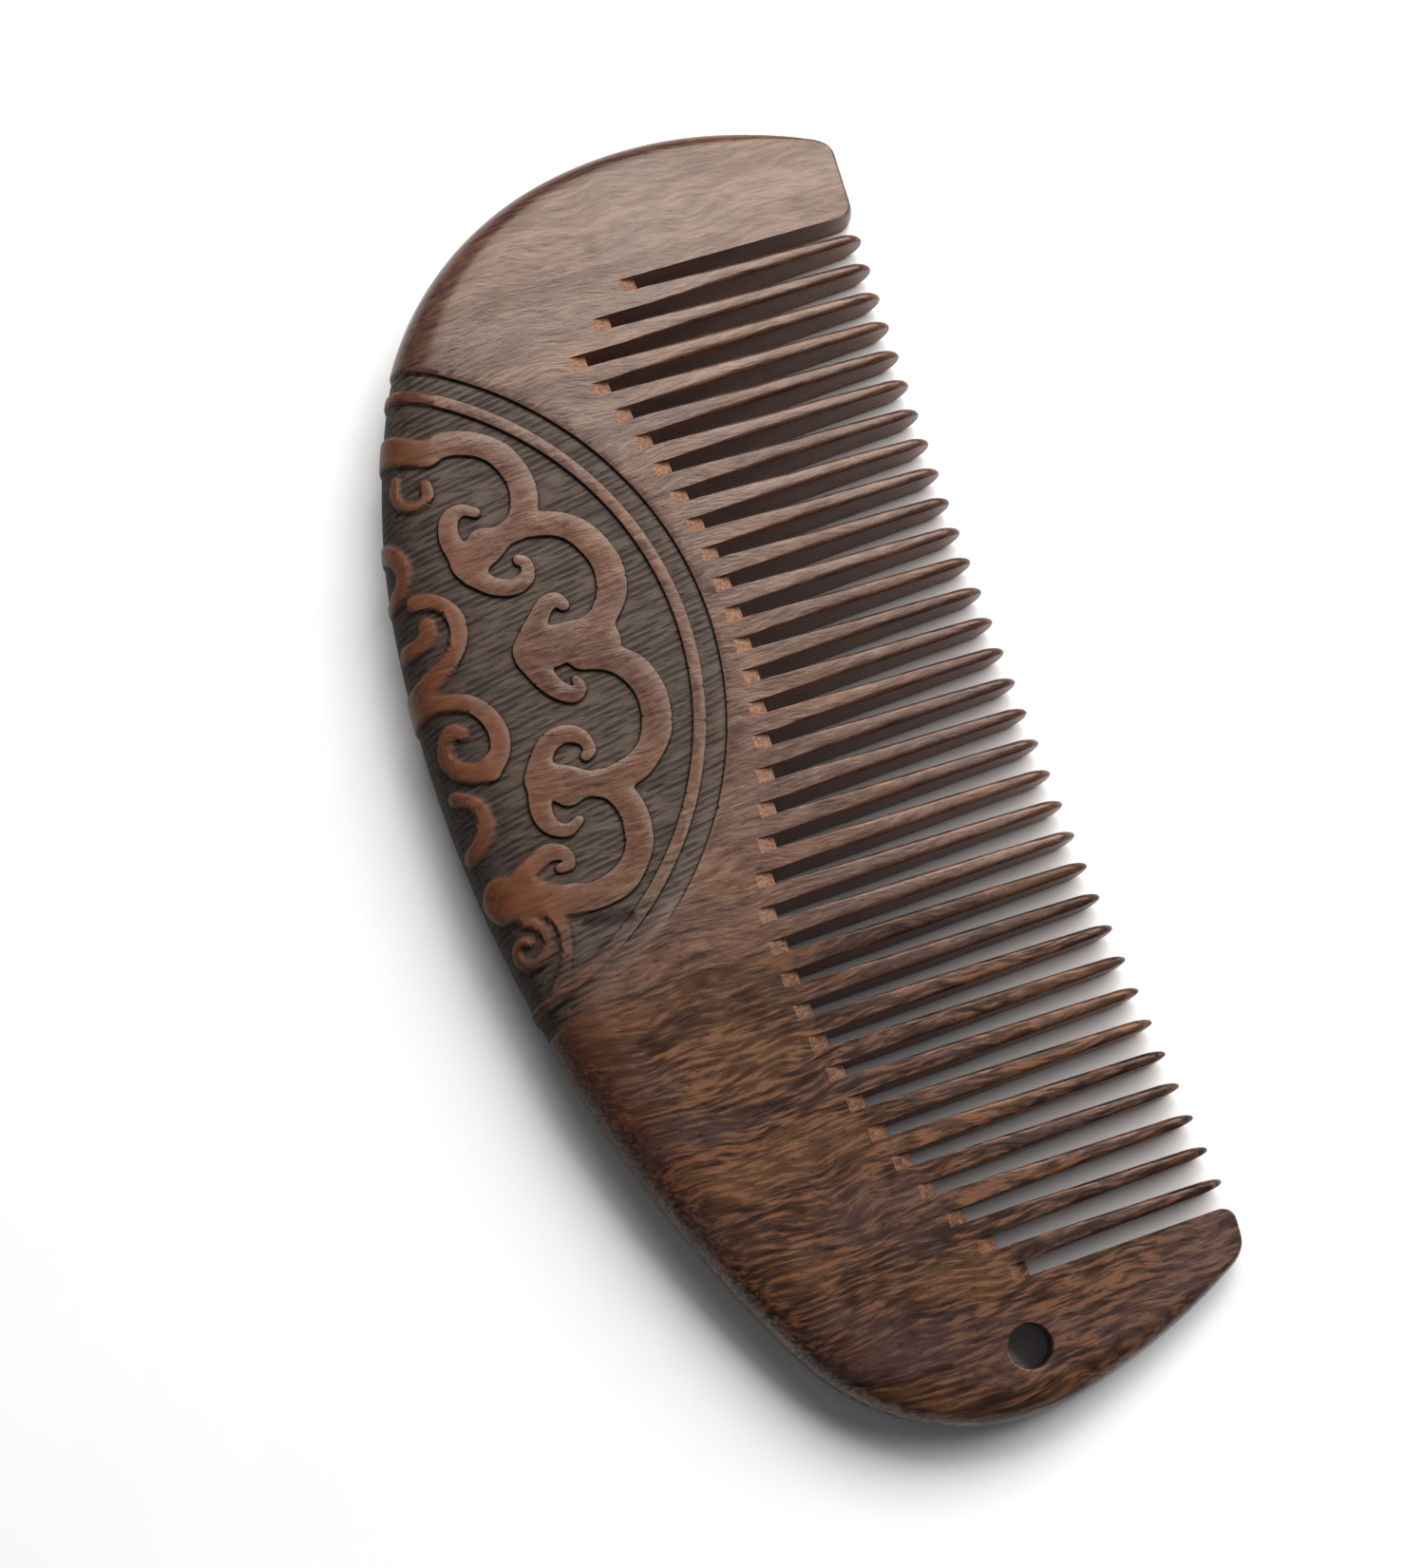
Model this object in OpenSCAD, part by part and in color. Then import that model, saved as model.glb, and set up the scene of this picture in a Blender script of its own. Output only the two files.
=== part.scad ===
// Carved wooden beard comb, cut from a blank of two staves glued edge to edge.
// Units are millimetres. X runs along the row of teeth, the teeth point to +Y,
// and the comb rests on its back face at z = 0. The hanging hole is at the +X end.

/* [Blank] */
// Thickness of the wedge at the outermost point of the spine
spine_t = 10.6; // [9.5:0.1:12]
// Thickness of the wedge at the tooth tips
tip_t = 3.4; // [3.2:0.1:4.4]
// Half width of the comb, from its middle to the corners of the two guards
half_width = 27.4; // [27.2:0.1:27.8]
// How far the middle of the front edge is hollowed behind its corners
front_hollow = 1.8; // [1:0.1:2.2]
// Depth of the rounding on the spine, as a share of half the local thickness
spine_round = 0.95; // [0.6:0.05:1]
// Depth of the rounding on the front edge of the two guards
front_round = 0.45; // [0.3:0.05:0.6]

/* [Teeth] */
// Number of teeth between the two guards
tooth_count = 32; // [32]
// Distance from one tooth to the next
pitch = 3; // [2.9:0.02:3]
// X of the middle of the row of teeth
row_x = 1.1; // [0.8:0.1:1.4]
// Width of a tooth at its root
root_w = 1.65; // [1.5:0.05:1.8]
// Width of a tooth where its rounded nose begins
nose_w = 1.05; // [0.9:0.05:1.2]
// Length of the rounded nose of a tooth
nose_len = 2.6; // [2:0.1:3]
// Y where the teeth begin to narrow
taper_y = 8.5; // [8.2:0.1:9.5]
// Length of the sloping run-out at the root of a slot, along the face
runout_len = 1.5; // [0.8:0.1:1.6]
// Depth of the run-out where it meets the slot
runout_depth = 0.8; // [0.6:0.1:1.2]

/* [Staves] */
// Number of teeth on the wide stave; the glue line lies in the next slot
wide_teeth = 21; // [18:1:24]

/* [Hanging hole] */
// X of the hole
hole_x = 55.3; // [54:0.1:55.6]
// Y of the hole
hole_y = 6.1; // [4:0.1:8]
// Diameter of the hole
hole_d = 3.8; // [3:0.1:4.4]
// Width of the chamfer round both mouths of the hole
hole_chamfer = 0.2; // [0.2:0.1:0.6]

/* [Hidden] */

// The back of the comb is a chain of tangent arcs, each [radius, sweep in degrees, steps]
BACK_ARCS = [
    [37, 44.6, 12],
    [29.6, 54, 16],
    [75.6, 17.1, 6],
    [123, 34.3, 12],
    [20.3, 73.2, 20],
    [58.1, 18.8, 6],
];
back_start = [-55.26, half_width];
back_heading = -121.9;

front_y = half_width - front_hollow;
half_front = 54.6;
front_steps = 18;

slope = (spine_t - tip_t) / (2 * half_width);
// The rounded edge in section, as [share of its depth, share of the thickness]. Its ends run
// past both faces, where the wedge cuts them off
EDGE_SECTION = concat(
    [[1.4, -0.04]],
    [for (t = [-70 : 20 : 70]) [1 - cos(t), (1 + sin(t)) / 2]],
    [[1.4, 1.04]]
);
blend_len = 9;

first_tooth_x = row_x - pitch * (tooth_count - 1) / 2;
seam_x = first_tooth_x + pitch * (wide_teeth - 0.5);

// The roots follow three curves: a ramp by the first guard, an arc above the
// medallion and a curve along the lower back
medallion_x = -15;
medallion_root_y = 4.1;
medallion_curve = 118;
ramp_root_y = 5.15;
ramp_rate = 1.15;
low_x = 18.1;
low_root_y = -2.05;
low_curve = 94;

nose_steps = 5;
beyond = 2;
half_side = 40;
end_x = 70;

// Height of the front face above the back face
function face_z(y) = tip_t + slope * (half_width - y);

// Y of the front edge and of the tooth tips
function front_edge(x) = front_y + front_hollow * pow(x / half_front, 2);

function tooth_x(i) = first_tooth_x + pitch * (i - 1);

function medallion_margin(x) = medallion_root_y - pow(x - medallion_x, 2) / medallion_curve;

function guard_ramp(x) = ramp_root_y - ramp_rate * (x - first_tooth_x + pitch / 2);

function low_back(x) = low_root_y + pow(max(0, x - low_x), 2) / low_curve;

// Y of the root of the slot at x
function root_y(x) = max(guard_ramp(x), medallion_margin(x), low_back(x));

function arc_points(p, heading, arc) = [
    for (k = [1 : arc[2]])
        let (a = heading + arc[1] * k / arc[2])
            p + arc[0] * [sin(a) - sin(heading), cos(heading) - cos(a)]
];

function arc_chain(p, heading, arcs, i = 0) =
    i == len(arcs) ? [] :
    let (points = arc_points(p, heading, arcs[i]))
        concat(points, arc_chain(points[len(points) - 1], heading + arcs[i][1], arcs, i + 1));

function front_points(from, to) = [
    for (k = [1 : front_steps])
        let (x = from + (to - from) * k / (front_steps + 1))
            [x, front_edge(x)]
];

function unit(v) = v / norm(v);

function inward(points, i) =
    let (n = len(points))
    let (d = unit(points[(i + 1) % n] - points[(i + n - 1) % n]))
        [-d[1], d[0]];

// Rounding depth: full along the back, easing down to the front edge
function round_depth(p) =
    let (full = spine_round * face_z(p[1]) / 2)
    let (share = min(1, max(0, (front_edge(p[0]) - p[1] - 0.3) / blend_len)))
        front_round + (full - front_round) * share;

// One ring of the blank, at one point of its edge section
function edge_ring(points, at) = [
    for (i = [0 : len(points) - 1])
        let (reach = round_depth(points[i]) * inward(points, i))
        let (p = points[i] + at[0] * reach)
            [p[0], p[1], at[1] * face_z((points[i] + reach)[1])]
];

// Half widths of a tooth from its root to its tip, as [half width, y]
function tooth_side(x, root) =
    let (tip = front_edge(x))
        concat(
            [[root_w / 2, root], [root_w / 2, taper_y]],
            [
                for (k = [0 : nose_steps])
                    let (a = 90 * k / nose_steps)
                        [nose_w / 2 * cos(a), tip - nose_len * (1 - sin(a))]
            ],
            [[-beyond / 8, tip + beyond]]
        );

// The outline with its rounded edge, a little thicker than the comb
module blank() {
    back = concat([back_start], arc_chain(back_start, back_heading, BACK_ARCS));
    outline = concat(back, front_points(back[len(back) - 1][0], back_start[0]));
    n = len(outline);
    bands = len(EDGE_SECTION) - 1;
    rings = [
        for (at = EDGE_SECTION)
            each edge_ring(outline, at)
    ];
    sides = [
        for (k = [0 : bands - 1])
            for (i = [0 : n - 1])
                let (a = k * n + i)
                let (b = k * n + (i + 1) % n)
                    each [[a, a + n, b + n], [a, b + n, b]]
    ];
    // Each face is a fan from the middle of the back, which sees the whole outline
    fan = round(len(back) / 2);
    back_face = [for (i = [0 : n - 1]) (fan + i) % n];
    front_face = [for (i = [0 : n - 1]) bands * n + (fan + n - i) % n];
    polyhedron(rings, concat([back_face, front_face], sides), convexity = 10);
}

// The space between the two faces, from one X position to another
module wedge(from_x, to_x) {
    across((from_x + to_x) / 2, to_x - from_x)
        polygon([
            [-half_side, 0],
            [half_side, 0],
            [half_side, face_z(half_side)],
            [-half_side, face_z(-half_side)],
        ]);
}

// Slot i lies between tooth i - 1 and tooth i; the first and last slots have a guard on one side
module slot(i) {
    before = tooth_x(i - 1);
    after = tooth_x(i);
    root = root_y((before + after) / 2);
    left = i == 1
        ? [[before + root_w / 2, root], [before + root_w / 2, half_width + beyond]]
        : [for (s = tooth_side(before, root)) [before + s[0], s[1]]];
    right = i == tooth_count + 1
        ? [[after - root_w / 2, root], [after - root_w / 2, half_width + beyond]]
        : [for (s = tooth_side(after, root)) [after - s[0], s[1]]];
    flipped = [for (k = [len(right) - 1 : -1 : 0]) right[k]];
    translate([0, 0, -1])
        linear_extrude(spine_t + 2)
            polygon(concat(left, flipped));
    slot_runouts((before + after) / 2, pitch - root_w - 0.04, root);
}

// Sloping run-outs at the root of a slot, one on each face
module slot_runouts(x, w, root) {
    start = root - runout_len;
    end = root + 0.4;
    across(x, w) {
        polygon([
            [start, face_z(start)],
            [start, face_z(start) + 1],
            [end, face_z(start) + 1],
            [end, face_z(root) - runout_depth],
            [root, face_z(root) - runout_depth],
        ]);
        polygon([
            [start, 0],
            [root, runout_depth],
            [end, runout_depth],
            [end, -1],
            [start, -1],
        ]);
    }
}

// Extrude a section drawn in Y and Z across a width w centred on x
module across(x, w) {
    translate([x - w / 2, 0, 0])
        rotate([90, 0, 90])
            linear_extrude(w)
                children();
}

// Round the nose of tooth i in the thickness of the comb, from both faces
module nose_cut(i) {
    x = tooth_x(i);
    tip = front_edge(x);
    length = 0.9 * nose_len;
    start = tip - length;
    mid = face_z(tip) / 2;
    curve = [
        for (k = [0 : nose_steps])
            let (a = 90 * k / nose_steps)
                [start + length * sin(a), mid * cos(a)]
    ];
    across(x, pitch - nose_w) {
        polygon(concat(
            [for (c = curve) [c[0], mid + c[1] * (face_z(start) - mid) / mid]],
            [[tip + 1, mid], [tip + 1, spine_t], [start, spine_t]]
        ));
        polygon(concat(
            [for (c = curve) [c[0], mid - c[1]]],
            [[tip + 1, mid], [tip + 1, -1], [start, -1]]
        ));
    }
}

module hanging_hole() {
    top = face_z(hole_y);
    cone_r = hole_d / 2 + hole_chamfer + 1;
    translate([hole_x, hole_y, -1])
        cylinder(d = hole_d, h = spine_t + 2, $fn = 48);
    translate([hole_x, hole_y, top - hole_chamfer])
        cylinder(r1 = hole_d / 2, r2 = cone_r, h = hole_chamfer + 1, $fn = 48);
    translate([hole_x, hole_y, -1])
        cylinder(r1 = cone_r, r2 = hole_d / 2, h = hole_chamfer + 1, $fn = 48);
}

// The part of the blank between two X positions, with the given teeth and slots cut
module stave(from_x, to_x, teeth, slots) {
    difference() {
        difference() {
            intersection() {
                blank();
                wedge(from_x, to_x);
            }
            for (i = slots)
                slot(i);
        }
        for (i = teeth)
            nose_cut(i);
    }
}

// Stave with the first guard and the carved medallion
module wide_stave() {
    color([0.38, 0.24, 0.17])
        stave(-end_x, seam_x, [1 : wide_teeth], [1 : wide_teeth + 1]);
}

// Stave with the second guard and the hanging hole
module narrow_stave() {
    color([0.45, 0.28, 0.18])
        difference() {
            stave(
                seam_x,
                end_x,
                [wide_teeth + 1 : tooth_count],
                [wide_teeth + 1 : tooth_count + 1]
            );
            hanging_hole();
        }
}

wide_stave();
narrow_stave();
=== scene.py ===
"""Looks of the carved wooden beard comb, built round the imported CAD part."""

import math
from types import SimpleNamespace

import bmesh
import bpy
import numpy as np
from mathutils import Matrix, Vector
from mathutils.geometry import delaunay_2d_cdt

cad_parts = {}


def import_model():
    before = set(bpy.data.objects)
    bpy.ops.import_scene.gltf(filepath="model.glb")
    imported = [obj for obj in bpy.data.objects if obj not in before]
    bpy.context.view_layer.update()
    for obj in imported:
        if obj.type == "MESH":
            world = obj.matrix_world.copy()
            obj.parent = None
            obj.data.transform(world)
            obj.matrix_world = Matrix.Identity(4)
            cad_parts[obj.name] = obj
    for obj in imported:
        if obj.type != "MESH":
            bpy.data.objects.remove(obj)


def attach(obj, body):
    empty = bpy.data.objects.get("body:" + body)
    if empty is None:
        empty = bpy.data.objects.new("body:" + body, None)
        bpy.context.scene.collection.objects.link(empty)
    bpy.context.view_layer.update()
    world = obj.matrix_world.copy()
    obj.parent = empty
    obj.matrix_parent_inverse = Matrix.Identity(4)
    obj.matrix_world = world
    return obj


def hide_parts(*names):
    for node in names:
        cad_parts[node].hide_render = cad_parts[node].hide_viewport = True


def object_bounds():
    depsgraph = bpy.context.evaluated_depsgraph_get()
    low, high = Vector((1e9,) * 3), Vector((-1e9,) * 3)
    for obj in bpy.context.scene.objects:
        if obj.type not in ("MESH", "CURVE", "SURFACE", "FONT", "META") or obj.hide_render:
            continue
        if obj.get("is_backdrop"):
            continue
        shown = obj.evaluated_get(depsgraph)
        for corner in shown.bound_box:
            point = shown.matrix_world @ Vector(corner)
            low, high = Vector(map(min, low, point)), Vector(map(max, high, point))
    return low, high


# Sizes are millimetres until a mesh is made. X runs along the teeth, the teeth point to +Y.
MM = 0.001

# Blank: a wedge, thickest at the spine, with a flat back face at z = 0
TIP_T = 3.4
SPINE_T = 10.6
HALF_WIDTH = 27.4
FRONT_HOLLOW = 1.8
HALF_FRONT = 54.6
SPINE_ROUND = 0.95
FRONT_ROUND = 0.45
BLEND_LEN = 9.0
CORNER_LEN = 1.3
# How much further the rounding reaches than on the solid, where its start is less soft
SOFTER = 1.1

# Teeth and the slots between them
TOOTH_COUNT = 32
WIDE_TEETH = 21
PITCH = 3.0
ROW_X = 1.1
FIRST_TOOTH_X = ROW_X - PITCH * (TOOTH_COUNT - 1) / 2
SEAM_X = FIRST_TOOTH_X + PITCH * (WIDE_TEETH - 0.5)
ROOT_W = 1.65
NOSE_W = 1.05
NOSE_LEN = 2.6
TAPER_Y = 8.5
RUNOUT_LEN = 1.5
RUNOUT_DEPTH = 0.8
# Distance from the middle of the row to the slot wall of either guard
GUARD_WALL = PITCH * (TOOTH_COUNT + 1) / 2 - ROOT_W / 2

# The roots of the slots follow a ramp, an arc above the medallion and the lower back
RAMP_ROOT_Y = 5.15
RAMP_RATE = 1.15
MEDALLION_ROOT_Y = 4.1
MEDALLION_CURVE = 118
LOW_X = 18.1
LOW_ROOT_Y = -2.05
LOW_CURVE = 94

# Hanging hole
HOLE_X = 55.3
HOLE_Y = 6.1
HOLE_R = 1.9
CHAMFER = 0.2

# The back is a chain of tangent arcs, each (radius, sweep in degrees)
BACK_ARCS = ((37, 44.6), (29.6, 54), (75.6, 17.1), (123, 34.3), (20.3, 73.2), (58.1, 18.8))
BACK_START = (-55.26, HALF_WIDTH)
BACK_HEADING = -121.9

# Carving: a half medallion whose centre lies just outside the spine
MEDALLION = np.array((-15.0, -32.05))
RIM_R = 33.3
RING_OUT = 31.35
RING_IN = 30.3
CARVE_DEPTH = 0.45
CARVE_SLOPE = 0.13
WORN_RIM = 0.35
CARVED_LOW_X = -47
CARVED_HIGH_X = 22
CARVED_HIGH_Y = 2
# What the carving stores on each vertex for the shader
CARVE_LAYERS = ("depth", "line", "rim", "tone", "rough")

# Mesh density: spacing of points, and the contours of the carving with their spacing
FINE = 0.09
MEDIUM = 0.45
COARSE = 1.4
CONTOURS = ((-0.42, 0.32), (-0.15, 0.2), (0, 0.14), (CARVE_SLOPE, 0.14), (0.3, 0.2))
RING_STEP = 4
SHARP_ANGLE = 25

# Woods of the two staves. Figure is how strongly dark and light streaks show, from one X on
FIGURED_FROM_X = 19.6
WIDE_WOOD = {
    "dark": (0.03, 0.013, 0.01),
    "middle": (0.076, 0.034, 0.023),
    "light": (0.135, 0.066, 0.041),
    "figure": 0.0,
    "gloss": 0.35,
}
NARROW_WOOD = {
    "dark": (0.014, 0.007, 0.006),
    "middle": (0.046, 0.021, 0.013),
    "light": (0.128, 0.054, 0.025),
    "figure": 0.9,
    "gloss": 0.2,
}

# Camera: the point it looks at, the direction it looks from, and how far the frame is turned
CAMERA_TARGET = (0, -3.5, 5)
CAMERA_AZIMUTH = -8.47
CAMERA_ELEVATION = 78.13
CAMERA_TURN = 19
CAMERA_DISTANCE = 241.95
CAMERA_LENS = 62.18


def smooth(low, high, value):
    t = np.clip((value - low) / (high - low), 0, 1)
    return t * t * (3 - 2 * t)


def face_z(y):
    return TIP_T + (SPINE_T - TIP_T) * (HALF_WIDTH - y) / (2 * HALF_WIDTH)


def front_edge(x):
    return HALF_WIDTH - FRONT_HOLLOW + FRONT_HOLLOW * (x / HALF_FRONT) ** 2


def tooth_x(i):
    return FIRST_TOOTH_X + PITCH * (i - 1)


def root_y(x):
    """Y of the root of the slot at x."""
    ramp = RAMP_ROOT_Y - RAMP_RATE * (x - FIRST_TOOTH_X + PITCH / 2)
    above_medallion = MEDALLION_ROOT_Y - (x - MEDALLION[0]) ** 2 / MEDALLION_CURVE
    low = LOW_ROOT_Y + max(0, x - LOW_X) ** 2 / LOW_CURVE
    return max(ramp, above_medallion, low)


# ---------------------------------------------------------------- outline


def back_points(spacing):
    """The back as a dense polyline from the first guard to the second."""
    points = [np.array(BACK_START)]
    heading = math.radians(BACK_HEADING)
    for radius, degrees in BACK_ARCS:
        sweep = math.radians(degrees)
        steps = math.ceil(radius * sweep / spacing)
        start = points[-1]
        for k in range(1, steps + 1):
            a = heading + sweep * k / steps
            turn = (math.sin(a) - math.sin(heading), math.cos(heading) - math.cos(a))
            points.append(start + radius * np.array(turn))
        heading += sweep
    return np.array(points)


def soften_corner(before, after):
    """Joins two polylines that meet at a corner by a short curve."""
    corner = after[0]
    before = before[np.linalg.norm(before - corner, axis=1) > CORNER_LEN]
    after = after[np.linalg.norm(after - corner, axis=1) > CORNER_LEN]
    t = np.linspace(0, 1, 9)[1:-1, None]
    curve = (1 - t) ** 2 * before[-1] + 2 * t * (1 - t) * corner + t**2 * after[0]
    return np.concatenate([before, curve, after])


def outline_path():
    """From the first guard's slot wall round the back to the last guard's slot wall."""
    back = back_points(0.2)
    carved = (back[:, 0] > CARVED_LOW_X - 1) & (back[:, 0] < CARVED_HIGH_X + 1) & (back[:, 1] < 0)
    back = back[carved | (np.arange(len(back)) % 3 == 0)]
    first_wall = tooth_x(0) + ROOT_W / 2
    last_wall = tooth_x(TOOTH_COUNT + 1) - ROOT_W / 2
    first_corner = np.array((first_wall, front_edge(first_wall)))
    last_corner = np.array((last_wall, front_edge(last_wall)))
    path = np.linspace(first_corner - (0, CORNER_LEN + 0.2), first_corner, 6)
    for line in (np.linspace(first_corner, back[0], 30), back, np.linspace(back[-1], last_corner, 20)):
        path = soften_corner(path, line)
    return soften_corner(path, np.linspace(last_corner, last_corner - (0, CORNER_LEN + 0.2), 6))


def inward_normals(path):
    d = np.gradient(path, axis=0)
    d /= np.linalg.norm(d, axis=1)[:, None]
    return np.stack([-d[:, 1], d[:, 0]], 1)


def round_depth(path):
    """How far the rounding of the edge reaches into the face. It runs out at the slot walls."""
    full = SOFTER * SPINE_ROUND * face_z(path[:, 1]) / 2
    share = np.clip((front_edge(path[:, 0]) - path[:, 1] - 0.3) / BLEND_LEN, 0, 1)
    steps = np.linalg.norm(np.diff(path, axis=0), axis=1)
    travelled = np.concatenate([[0], np.cumsum(steps)])
    from_end = np.minimum(travelled, travelled[-1] - travelled)
    return (FRONT_ROUND + (full - FRONT_ROUND) * share) * smooth(0, 1.6, from_end)


# ---------------------------------------------------------------- carving


def arc(cx, cy, r, start, end, steps=24):
    a = np.radians(np.linspace(start, end, steps))
    return np.stack([cx + r * np.cos(a), cy + r * np.sin(a)], 1)


def spiral(cx, cy, r_from, r_to, start, end, steps=48):
    a = np.radians(np.linspace(start, end, steps))
    r = np.linspace(r_from, r_to, steps)
    return np.stack([cx + r * np.cos(a), cy + r * np.sin(a)], 1)


def curve_through(*points, steps=8):
    """A smooth path through points (Catmull-Rom)."""
    p = np.array((points[0], *points, points[-1]), float)
    path = []
    for k in range(1, len(p) - 2):
        for t in np.linspace(0, 1, steps, endpoint=False):
            a = 2 * p[k]
            b = p[k + 1] - p[k - 1]
            c = 2 * p[k - 1] - 5 * p[k] + 4 * p[k + 1] - p[k + 2]
            d = 3 * p[k] - p[k - 1] - 3 * p[k + 1] + p[k + 2]
            path.append((a + b * t + c * t**2 + d * t**3) / 2)
    path.append(p[-2])
    return np.array(path)


def stroke(start_w, end_w, *points):
    """A smooth path with the half widths of the stroke at its start and its end."""
    return curve_through(*points), start_w, end_w


def shared_strokes():
    """Strokes that both halves of the motif have, drawn for u > 0."""
    return [
        # Two lobes of the scalloped band
        (arc(6.5, 20.2, 5.9, 168, 5), 1.35, 1.15),
        (arc(16.4, 15.7, 5.45, 138, -20), 1.15, 1.15),
        # Side cloud head: stem, body and two curls
        stroke(0.95, 1.3, (12.7, 19.8), (12.0, 18.0), (11.3, 16.4)),
        stroke(1.8, 1.55, (11.6, 16.2), (10.4, 14.5)),
        stroke(1.0, 0.42, (11.0, 14.0), (13.2, 13.4), (14.9, 13.9), (15.5, 15.2), (14.9, 16.4)),
        stroke(1.0, 0.45, (9.2, 14.6), (7.8, 15.8), (7.2, 17.4), (7.8, 18.9), (9.0, 19.3), (9.5, 18.7)),
        # Petal beside the spine
        stroke(0.6, 0.8, (9.5, 6.4), (10.6, 8.0), (12.2, 8.5), (13.9, 7.8), (15.0, 6.2)),
    ]


def motif_strokes():
    """All strokes, each (path, half width at its start, half width at its end). Paths are in u and
    v, which run along X and Y from the middle of the medallion."""
    strokes = [
        # Cloud head in the middle
        stroke(2.0, 1.55, (-0.2, 23.2), (-0.8, 21.0), (-0.9, 18.4)),
        stroke(2.0, 1.1, (-0.9, 18.6), (-0.7, 16.8)),
        stroke(1.2, 0.45, (-1.2, 16.9), (-3.1, 18.1), (-4.6, 19.4), (-4.9, 20.6), (-4.2, 21.2)),
        stroke(1.1, 0.4, (0, 17.0), (1.8, 17.5), (3.2, 18.2), (3.9, 19.3), (3.5, 20.2), (2.8, 20.1)),
        # Open scroll on one side of the middle, closed scroll on the other
        stroke(0.85, 0.75, (0, 4.4), (-0.9, 7.4), (-2.5, 10.2), (-4.4, 11.5), (-6.4, 11.6), (-7.9, 10.5),
               (-8.5, 8.6)),
        stroke(0.75, 0.7, (-6.0, 9.0), (-5.1, 8.7), (-4.5, 7.6), (-4.6, 6.2)),
        stroke(0.8, 0.9, (1.4, 4.6), (0.9, 7.2), (1.7, 9.9), (3.3, 11.5), (5.2, 12.1), (7.1, 11.7),
               (8.2, 10.3)),
        stroke(0.9, 0.55, (8.2, 10.3), (8.1, 8.8), (7.2, 7.5), (5.7, 6.8), (4.4, 7.2), (3.8, 8.2),
               (4.4, 9.0)),
        # End of the band and its hook, at the first guard's side
        stroke(1.15, 1.5, (-21.5, 13.9), (-22.4, 12.2), (-23.4, 10.2), (-24.2, 7.8)),
        stroke(0.4, 0.5, (-20.2, 10.3), (-19.1, 9.9), (-17.7, 10.3), (-17.1, 11.7), (-17.7, 12.9),
               (-18.7, 13.0)),
        # End of the band, its hook and a last scroll, at the second guard's side
        stroke(1.15, 2.1, (21.5, 13.9), (21.1, 12.0), (20.2, 10.2), (19.6, 7.8)),
        stroke(0.9, 0.4, (18.2, 10.0), (17.5, 11.6), (17.0, 13.0), (17.4, 14.2), (18.3, 14.3),
               (18.5, 13.5)),
        stroke(0.6, 0.35, (21.6, 11.4), (23.8, 12.1), (26.2, 11.6), (28.4, 9.9), (30.6, 7.8),
               (32.2, 5.8)),
        (spiral(24.4, 8.4, 2.3, 0.5, 165, -215), 0.45, 0.35),
    ]
    for path, start, end in shared_strokes():
        strokes.append((path, start, end))
        strokes.append((path * (-1, 1), start, end))
    return strokes


def gouges():
    """Stray cuts in the worn end of the medallion."""
    return [
        stroke(0.3, 0.6, (23.9, 14.0), (24.1, 15.6), (24.4, 17.6)),
        stroke(0.5, 0.2, (33.0, 5.6), (33.6, 7.4)),
    ]


def stroke_distance(points, path, start_w, end_w):
    """Signed distance from points to the edge of a stroke; negative inside it."""
    widths = np.linspace(start_w, end_w, len(path))
    nearest = np.full(len(points), 1e3)
    for k in range(len(path) - 1):
        a, b = path[k], path[k + 1]
        d = b - a
        t = np.clip((points - a) @ d / (d @ d), 0, 1)
        gap = np.linalg.norm(points - a - t[:, None] * d, axis=1)
        nearest = np.minimum(nearest, gap - widths[k] - t * (widths[k + 1] - widths[k]))
    return nearest


def blend_min(a, b, width):
    """The smaller of two distances, with a soft fillet where they're alike."""
    h = np.maximum(width - np.abs(a - b), 0) / width
    return np.minimum(a, b) - h * h * width / 4


def strokes_distance(local, strokes):
    """Distance to the nearest of several strokes, with soft fillets where they meet."""
    nearest = np.full(len(local), 9.0)
    for path, start_w, end_w in strokes:
        reach = max(start_w, end_w) + 3
        close = np.all((local > path.min(0) - reach) & (local < path.max(0) + reach), axis=1)
        found = stroke_distance(local[close], path, start_w, end_w)
        nearest[close] = blend_min(nearest[close], found, 0.5)
    return nearest


def cut_distance(plan):
    """Distance into the area where wood is cut away; negative where it is left standing."""
    x, y = plan.T
    local = plan - MEDALLION
    r = np.linalg.norm(local, axis=1)
    cut = RIM_R - r
    inside = r < RIM_R + 1
    # The knife wandered a little round the motif
    wander_x = np.sin(0.9 * y + 0.4 * x) + np.sin(1.4 * x)
    wander_y = np.sin(0.7 * x) + np.sin(1.5 * y)
    wander = np.stack([wander_x, wander_y], 1)
    motif = strokes_distance((local + 0.07 * wander)[inside], motif_strokes())
    field = np.minimum(motif, RING_IN - r[inside])
    groove = np.minimum(RIM_R - r[inside], r[inside] - RING_OUT)
    cut[inside] = np.maximum(field, groove)
    return cut


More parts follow.
